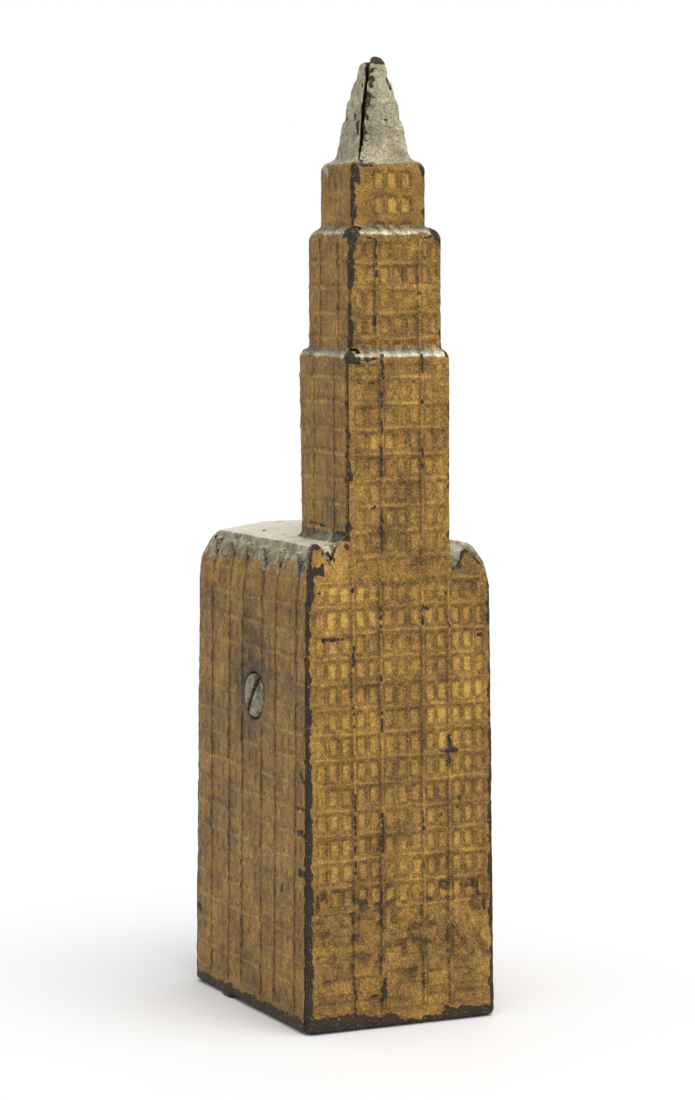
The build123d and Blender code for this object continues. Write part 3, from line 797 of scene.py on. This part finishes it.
def paint(piece):
    """Works out each vertex's coat and stores it on the mesh: tone (which holds painted highlight and
    painted shade too), silver, iron and side.
    """
    mesh = piece.data
    x, y, z = vertex_values(mesh.vertices, "co") / MM
    nx, ny, nz = vertex_values(mesh.vertex_normals, "vector")
    hidden = (outside(x, y, z) < -SKIN_SEEN) | (z < 0.3)
    sideways = np.abs(nx) > np.abs(ny)
    across = np.where(sideways, y, x)
    patchy = WEAR(across, z, 2.4) * 0.55 + WEAR(across + 70, z, 0.8) * 0.45
    rough = WEAR(across + 20, z, 0.5)

    tone = np.zeros(len(x), np.float32)
    iron = np.zeros(len(x), np.float32)
    faces = (("front", ~sideways & (ny < 0), x), ("back", ~sideways & (ny >= 0), x),
             ("left", sideways & (nx < 0), y), ("right", sideways & (nx >= 0), y))
    for face, mask, u in faces:
        on_base = mask & (z <= ROOF_Z)
        ends_on = face in ("front", "back")
        tone[on_base] = gold_tone(face, u[on_base], z[on_base],
                                  lambda a, b: wall_pattern(face, a, b),
                                  FRONT_BAYS if ends_on else SIDE_BAYS)
        for tier, (foot, top, *_) in enumerate(TIERS):
            here = mask & (z > max(foot, ROOF_Z)) & (z <= top + 0.5)
            tone[here] = gold_tone(face, u[here], z[here],
                                   lambda a, b: tier_pattern(face, tier, a, b),
                                   (TIER_FRONT_BAYS if ends_on else TIER_SIDE_BAYS)[tier])
    front, left = faces[0][1], faces[2][1]
    marks = FRONT_MARKS + TOWER_MARKS + SPIRE_FRONT_MARKS
    iron[front] = strokes(x[front], z[front], marks, rough[front])
    iron[left] = strokes(y[left], z[left], LEFT_MARKS + SPIRE_LEFT_MARKS, rough[left])

    iron = np.maximum(iron, bare_edges(x, y, z, front, left, patchy, rough))
    silver = silver_coat(x, y, z, nz, front, patchy, rough)
    silver[left] = np.maximum(silver[left], strokes(y[left], z[left], SILVER_PATCHES, rough[left]))
    # The silver's painted highlight and painted shade go into the tone here.
    tone = tone + silver_tone(x, y, z, nz, patchy) * silver
    from_screw = np.hypot((y - SCREW_Y - 0.8) * 0.9, (z - SCREW_Z - 2.0) * 0.62)
    stain = bump(from_screw, STAIN_REACH) * left
    tone = tone - STAIN_DARK * stain * (1 + 0.5 * patchy)
    iron = np.maximum(iron, 0.50 * step(0.35, 0.9, stain + 0.3 * patchy))
    iron[hidden], silver[hidden] = 1.0, 0.0
    coats = {"tone": tone, "silver": silver, "iron": iron, "side": np.abs(nx)}
    for name, values in coats.items():
        layer = mesh.attributes.new(name, "FLOAT", "POINT")
        layer.data.foreach_set("value", values.astype(np.float32))


def silver_coat(x, y, z, nz, front, patchy, rough):
    """0 to 1: silver-grey paint on roofs, ledges and spire, with a ragged lower edge."""
    edge = 0.5 * patchy + 0.3 * rough
    above_gable = step(-0.1, 0.35, z - gable_top(x) + 0.4 * edge) * (np.abs(x - 0.2) > 8.7)
    side_line = 69.9 + 0.3 * np.clip(arch_top(y) - 70.4, -1, 1)
    above_arch = step(-1.6, 1.4, z - side_line + 1.5 * WEAR(y + 33, z, 1.5) + 0.5 * rough)
    base = np.where(front, above_gable, above_arch)
    base = np.maximum(base, step(0.45, 0.75, nz) * (z > 68))
    silver = np.where(z <= ROOF_Z + 1.0 + 0.5 * edge, base, 0.0)
    for (_, top, *_), rise in zip(TIERS, LEDGE_RISE):
        wavy = 0.5 * edge + 0.35 * WEAR(x + y, z, 3.1)
        near = step(top - 0.2, top + 0.15, z + wavy) * step(top + rise + 0.6, top + rise, z)
        silver = np.maximum(silver, near * step(0.12, 0.35, nz + 0.15 * edge))
    return np.maximum(silver, step(129.8, 130.2, z + 0.35 * edge))


def silver_tone(x, y, z, nz, patchy):
    """Brighter silver as a painted highlight on the up-facing roof and along each ledge's edge, duller as
    painted shade in corners, along the arch tops, by the tower and low on the roll.
    """
    # Painted highlight: the up-facing roof is much lighter.
    tone = 0.02 + 0.18 * patchy + 0.56 * step(0.80, 0.97, nz) * (z < ROOF_Z + 1)
    for (_, top, *_), rise in zip(TIERS[:2], LEDGE_RISE):
        # Painted highlight along each ledge's edge, painted shade just above it and in the corner at the
        # next tier's foot.
        tone = tone + 0.26 * bump(z - top - 0.2, 0.30) - 0.10 * bump(z - top - 0.8, 0.5)
        tone = tone - 0.30 * bump(z - top - rise - 0.2, 0.4)
    # Painted shade along the arch tops.
    tone = tone - 0.30 * bump(z - arch_top(y), 0.35) * step(68, 69, z) * step(0.0, 0.5, patchy + 0.3)
    _, _, middle, half, _, back = TIERS[0]
    clear = np.maximum(np.abs(x - middle) - half, y - back)
    # Painted shade on the roof round the tower's foot.
    tone = tone - 0.30 * bump(np.maximum(clear, 0), 1.5) * (z > ROOF_Z - 1) * (z < ROOF_Z + 3)
    # Painted shade low on the roll, around z 70.
    return tone - 0.24 * bump(z - 70.0, 1.8)


def bare_edges(x, y, z, front, left, patchy, rough):
    """0 to 1: iron that shows at the foot, at the corners, at the tip and along the parting line."""
    on_base = z < ROOF_Z
    rag = 0.6 * patchy + 0.4 * rough
    thin = 0.9 * inside(x - 3.0, 3.8, 1.0) - 0.5 * step(-4.0, -10.0, x)
    foot = step(2.4, 1.8, z + 0.8 * rag + thin * front)
    strip = step(-14.5, -14.9, x + 0.55 * rag - 0.5 * step(64, 66, z)) * front * on_base
    lap = step(-20.5, -20.9, y + 0.3 * rag) * left * on_base
    rear = step(20.5, 21.0, y + 0.7 * rag) * left * on_base
    right_edge = step(14.75, 15.15, x + 0.55 * patchy + 0.25 * rough) * front * on_base
    iron = np.maximum.reduce([foot, strip, lap, rear, right_edge])
    for foot_z, top, middle, half, front_y, _ in TIERS:
        here = (z > max(foot_z, ROOF_Z)) & (z < top + 0.3)
        off = x - middle
        arris = step(0.40, 0.05, off + half + 0.9 * patchy + 0.4 * rough) * front
        flank = step(0.70, 0.4, y - front_y + 0.5 * patchy + 0.3 * rough) * left
        edge = step(0.35, 0.05, half - off + 0.75 * patchy + 0.2 * rough) * front
        iron = np.where(here, np.maximum.reduce([iron, arris, flank, edge]), iron)
    seam_side = np.abs((x - TIERS[2][2]) - (y - TOWER_Y))
    seam = step(0.55, 0.25, seam_side + 0.45 * patchy) * (z > 131.5) * (x < 0)
    tip = step(144.6, 145.1, z + 0.4 * rag - 0.5 * left)
    return np.maximum(iron, np.maximum(seam, tip))


# ---- materials
def srgb(red, green, blue):
    """A colour given as 0 to 255 display values, as the shader's linear values."""
    def linear(value):
        value = value / 255
        return value / 12.92 if value <= 0.04045 else ((value + 0.055) / 1.055) ** 2.4
    return (linear(red), linear(green), linear(blue), 1.0)


GOLD = ((0.0, srgb(46, 37, 24)), (0.25, srgb(90, 68, 36)), (0.5, srgb(131, 98, 47)),
        (0.75, srgb(168, 130, 62)), (1.0, srgb(205, 166, 78)))
# The top silver stops are reached where the tone carries the roof's painted highlight.
SILVER = ((0.0, srgb(70, 64, 50)), (0.25, srgb(112, 104, 82)), (0.5, srgb(150, 142, 116)),
          (0.75, srgb(186, 178, 152)), (1.0, srgb(226, 220, 202)))
IRON = ((0.0, srgb(26, 19, 13)), (0.5, srgb(50, 41, 28)), (0.8, srgb(88, 75, 56)),
        (1.0, srgb(158, 144, 116)))
FLOOR_COLOUR = (0.87, 0.87, 0.87, 1.0)
FLOOR_DARKER = tuple(0.985 * c for c in FLOOR_COLOUR[:3]) + (1.0,)


class Nodes:
    """Short ways to add and join shader nodes."""

    def __init__(self, name):
        self.material = bpy.data.materials.new(name)
        self.material.use_nodes = True
        self.tree = self.material.node_tree
        self.shader = self.tree.nodes["Principled BSDF"]
        coordinates = self.tree.nodes.new("ShaderNodeTexCoord")
        self.place = coordinates.outputs["Object"]

    def link(self, source, target):
        self.tree.links.new(source, target)

    def attribute(self, name):
        node = self.tree.nodes.new("ShaderNodeAttribute")
        node.attribute_name = name
        return node.outputs["Fac"]

    def noise(self, size_mm, detail=2.0, rough=0.5, stretch=None):
        node = self.tree.nodes.new("ShaderNodeTexNoise")
        node.inputs["Scale"].default_value = 1 / (size_mm * MM)
        node.inputs["Detail"].default_value = detail
        node.inputs["Roughness"].default_value = rough
        place = self.place
        if stretch:
            mapping = self.tree.nodes.new("ShaderNodeMapping")
            mapping.inputs["Scale"].default_value = stretch
            self.link(place, mapping.inputs["Vector"])
            place = mapping.outputs["Vector"]
        self.link(place, node.inputs["Vector"])
        return node.outputs["Fac"]

    def math(self, operation, a, b, c=None):
        node = self.tree.nodes.new("ShaderNodeMath")
        node.operation = operation
        for socket, value in zip(node.inputs, (a, b, c)):
            if value is None:
                continue
            if isinstance(value, (int, float)):
                socket.default_value = value
            else:
                self.link(value, socket)
        return node.outputs[0]

    def total(self, start, *parts):
        """start plus each (value, weight), where each value is taken about its middle, 0.5."""
        for value, weight in parts:
            middle = self.math("MULTIPLY_ADD", value, weight, -weight / 2)
            start = self.math("ADD", start, middle)
        return start

    def ramp(self, value, low, high):
        """0 to 1 as value goes from low to high."""
        node = self.tree.nodes.new("ShaderNodeMapRange")
        node.interpolation_type = "SMOOTHSTEP"
        node.inputs["From Min"].default_value = low
        node.inputs["From Max"].default_value = high
        self.link(value, node.inputs["Value"])
        return node.outputs["Result"]

    def colours(self, value, stops):
        node = self.tree.nodes.new("ShaderNodeValToRGB")
        elements = node.color_ramp.elements
        while len(elements) < len(stops):
            elements.new(0.5)
        for element, (position, colour) in zip(elements, stops):
            element.position = position
            element.color = colour
        self.link(value, node.inputs["Fac"])
        return node.outputs["Color"]

    def mix(self, share, a, b):
        node = self.tree.nodes.new("ShaderNodeMix")
        node.data_type = "RGBA"
        for socket, value in ((node.inputs[0], share), (node.inputs[6], a), (node.inputs[7], b)):
            if isinstance(value, (tuple, float, int)):
                socket.default_value = value
            else:
                self.link(value, socket)
        return node.outputs[2]

    def bump(self, height, depth_mm, strength, under=None):
        node = self.tree.nodes.new("ShaderNodeBump")
        node.inputs["Distance"].default_value = depth_mm * MM
        node.inputs["Strength"].default_value = strength
        self.link(height, node.inputs["Height"])
        if under:
            self.link(under, node.inputs["Normal"])
        return node.outputs["Normal"]


def painted_iron():
    """Gold and silver paint over black iron, placed by the mesh's own layers."""
    n = Nodes("painted_casting")
    speck = n.noise(0.2, 1.0)
    flake = n.noise(0.45, 2.0, 0.6)
    blotch = n.noise(1.2, 3.0, 0.6)
    cloud = n.noise(5.0, 2.0, 0.5)
    streak = n.noise(0.5, 2.0, 0.6, stretch=(1, 1, 0.25))

    # The tone layer holds painted highlight and painted shade as well as the paint's own variation.
    tone = n.math("ADD", n.attribute("tone"), 0.5)
    side = n.attribute("side")
    streaky = n.math("MULTIPLY", n.math("SUBTRACT", streak, 0.5), n.math("MULTIPLY", side, 0.45))
    gold_tone = n.total(tone, (speck, 1.0), (flake, 0.5), (blotch, 0.4), (cloud, 0.2))
    gold = n.colours(n.math("ADD", gold_tone, streaky), GOLD)
    silver = n.colours(n.total(tone, (speck, 0.8), (flake, 0.7), (blotch, 0.6), (cloud, 0.4)), SILVER)
    fleck = n.ramp(n.noise(0.35, 2.0, 0.6), 0.58, 0.68)
    iron_tone = n.total(n.math("MULTIPLY_ADD", fleck, 0.45, 0.38), (blotch, 0.8), (speck, 0.5))
    iron = n.colours(iron_tone, IRON)

    silver_edge = n.total(n.attribute("silver"), (flake, 0.7), (blotch, 0.4))
    iron_edge = n.total(n.attribute("iron"), (speck, 0.5), (flake, 0.8), (blotch, 0.3))
    silver_mask = n.ramp(silver_edge, 0.28, 0.72)
    iron_mask = n.ramp(iron_edge, 0.38, 0.62)
    pits = n.ramp(n.noise(0.5, 2.0, 0.6), 0.69, 0.73)
    iron_mask = n.math("MAXIMUM", iron_mask, n.math("MULTIPLY", pits, 0.8))
    coats = n.mix(silver_mask, gold, silver)
    n.link(n.mix(iron_mask, coats, iron), n.shader.inputs["Base Color"])

    n.link(n.math("MULTIPLY_ADD", iron_mask, -0.2, 0.2), n.shader.inputs["Metallic"])
    n.link(n.math("MULTIPLY_ADD", blotch, 0.25, 0.42), n.shader.inputs["Roughness"])
    n.shader.inputs["Specular IOR Level"].default_value = 0.25
    coarse = n.bump(flake, 0.09, 0.6)
    fine = n.bump(speck, 0.05, 0.7, coarse)
    n.link(n.bump(iron_mask, -0.06, 0.6, fine), n.shader.inputs["Normal"])
    return n.material


def screw_steel():
    """Dull, tarnished steel with brown spots."""
    n = Nodes("tarnished_steel")
    blotch = n.noise(0.8, 4.0, 0.65)
    base = n.mix(n.ramp(blotch, 0.4, 0.65), srgb(142, 134, 120), srgb(88, 78, 64))
    rust = n.ramp(n.noise(1.6, 4.0, 0.7), 0.55, 0.75)
    n.link(n.mix(rust, base, srgb(70, 58, 46)), n.shader.inputs["Base Color"])
    n.shader.inputs["Metallic"].default_value = 0.75
    n.link(n.math("MULTIPLY_ADD", blotch, 0.3, 0.30), n.shader.inputs["Roughness"])
    n.link(n.bump(n.noise(0.3, 3.0, 0.6), 0.03, 0.5), n.shader.inputs["Normal"])
    return n.material


def pale_floor():
    """A matt pale surface, very slightly uneven."""
    n = Nodes("pale_floor")
    n.link(n.mix(n.noise(60.0), FLOOR_COLOUR, FLOOR_DARKER), n.shader.inputs["Base Color"])
    n.shader.inputs["Roughness"].default_value = 0.7
    return n.material


# ---- stage, light and camera
CAMERA_AZIMUTH = -24.84
CAMERA_REACH = 508.4            # mm from the model's upright axis, level
CAMERA_HEIGHT = 115.6
CAMERA_PITCH = -5.05
CAMERA_ROLL = -0.28
FOCAL_HEIGHTS = 2.9834          # focal length in picture heights
SENSOR = 36.0
SHIFT_X = 0.0073
FLOOR_REACH = 4.0               # m
BACKDROP = (1.0, 1.0, 1.0, 1.0)
FILL_COLOUR = (0.97, 0.98, 1.0, 1.0)
FILL_STRENGTH = 0.63
SUN_COLOUR = (1.0, 0.98, 0.95)


def add_camera():
    """The view from the front left: angles are in degrees, and the roll is about the line of sight."""
    azimuth, pitch, roll = (math.radians(v) for v in (CAMERA_AZIMUTH, CAMERA_PITCH, CAMERA_ROLL))
    place = Vector((math.sin(azimuth) * CAMERA_REACH, -math.cos(azimuth) * CAMERA_REACH,
                    CAMERA_HEIGHT)) * MM
    ahead = Vector((-math.sin(azimuth) * math.cos(pitch), math.cos(azimuth) * math.cos(pitch),
                    math.sin(pitch)))
    right = Vector((math.cos(azimuth), math.sin(azimuth), 0))
    up = right.cross(ahead)
    turned = right * math.cos(roll) + up * math.sin(roll)
    upright = -right * math.sin(roll) + up * math.cos(roll)
    data = bpy.data.cameras.new("camera")
    data.sensor_width = SENSOR
    data.lens = FOCAL_HEIGHTS * SENSOR
    data.shift_x = SHIFT_X
    data.clip_start = 0.01
    camera = bpy.data.objects.new("camera", data)
    axes = Matrix((turned, upright, -ahead)).transposed()
    camera.matrix_world = Matrix.Translation(place) @ axes.to_4x4()
    bpy.context.scene.collection.objects.link(camera)
    bpy.context.scene.camera = camera


def add_floor():
    far = FLOOR_REACH
    mesh = bpy.data.meshes.new("floor")
    corners = [(-far, -far, 0), (far, -far, 0), (far, far, 0), (-far, far, 0)]
    mesh.from_pydata(corners, [], [(0, 1, 2, 3)])
    floor = bpy.data.objects.new("floor", mesh)
    mesh.materials.append(pale_floor())
    bpy.context.scene.collection.objects.link(floor)


def add_sun(name, azimuth, elevation, strength, softness):
    """A distant soft light from one side. Azimuth 0 shines from the front, 90 from the right."""
    data = bpy.data.lights.new(name, "SUN")
    data.energy = strength
    data.angle = math.radians(softness)
    data.color = SUN_COLOUR
    light = bpy.data.objects.new(name, data)
    a, e = math.radians(azimuth), math.radians(elevation)
    source = Vector((math.sin(a) * math.cos(e), -math.cos(a) * math.cos(e), math.sin(e)))
    light.rotation_euler = source.to_track_quat("Z", "Y").to_euler()
    bpy.context.scene.collection.objects.link(light)


def add_light():
    """Two soft suns and an even fill. The camera itself sees a white backdrop."""
    world = bpy.data.worlds.new("studio")
    world.use_nodes = True
    tree = world.node_tree
    backdrop = tree.nodes["Background"]
    backdrop.inputs["Color"].default_value = BACKDROP
    fill = tree.nodes.new("ShaderNodeBackground")
    fill.inputs["Color"].default_value = FILL_COLOUR
    fill.inputs["Strength"].default_value = FILL_STRENGTH
    seen = tree.nodes.new("ShaderNodeLightPath")
    mixed = tree.nodes.new("ShaderNodeMixShader")
    tree.links.new(seen.outputs["Is Camera Ray"], mixed.inputs["Fac"])
    tree.links.new(fill.outputs["Background"], mixed.inputs[1])
    tree.links.new(backdrop.outputs["Background"], mixed.inputs[2])
    tree.links.new(mixed.outputs["Shader"], tree.nodes["World Output"].inputs["Surface"])
    bpy.context.scene.world = world
    add_sun("overhead", 8, 72, 1.75, 50)
    add_sun("front", 12, 24, 0.78, 75)


# ---- assembly
add_camera()
add_light()
add_floor()
bpy.context.scene.view_settings.view_transform = "Standard"

front_right, rear_left = castings()
coat = painted_iron()
for piece, body, node, slot in (
        (front_right, "front_right", "front_right_shell", "painted_casting_front"),
        (rear_left, "rear_left", "rear_left_shell", "painted_casting_rear")):
    paint(piece)
    piece.data.materials.append(coat)
    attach(piece, body)
    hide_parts(node)

threaded = screw()
threaded.data.materials.append(screw_steel())
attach(threaded, "screw")
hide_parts("cross_screw")
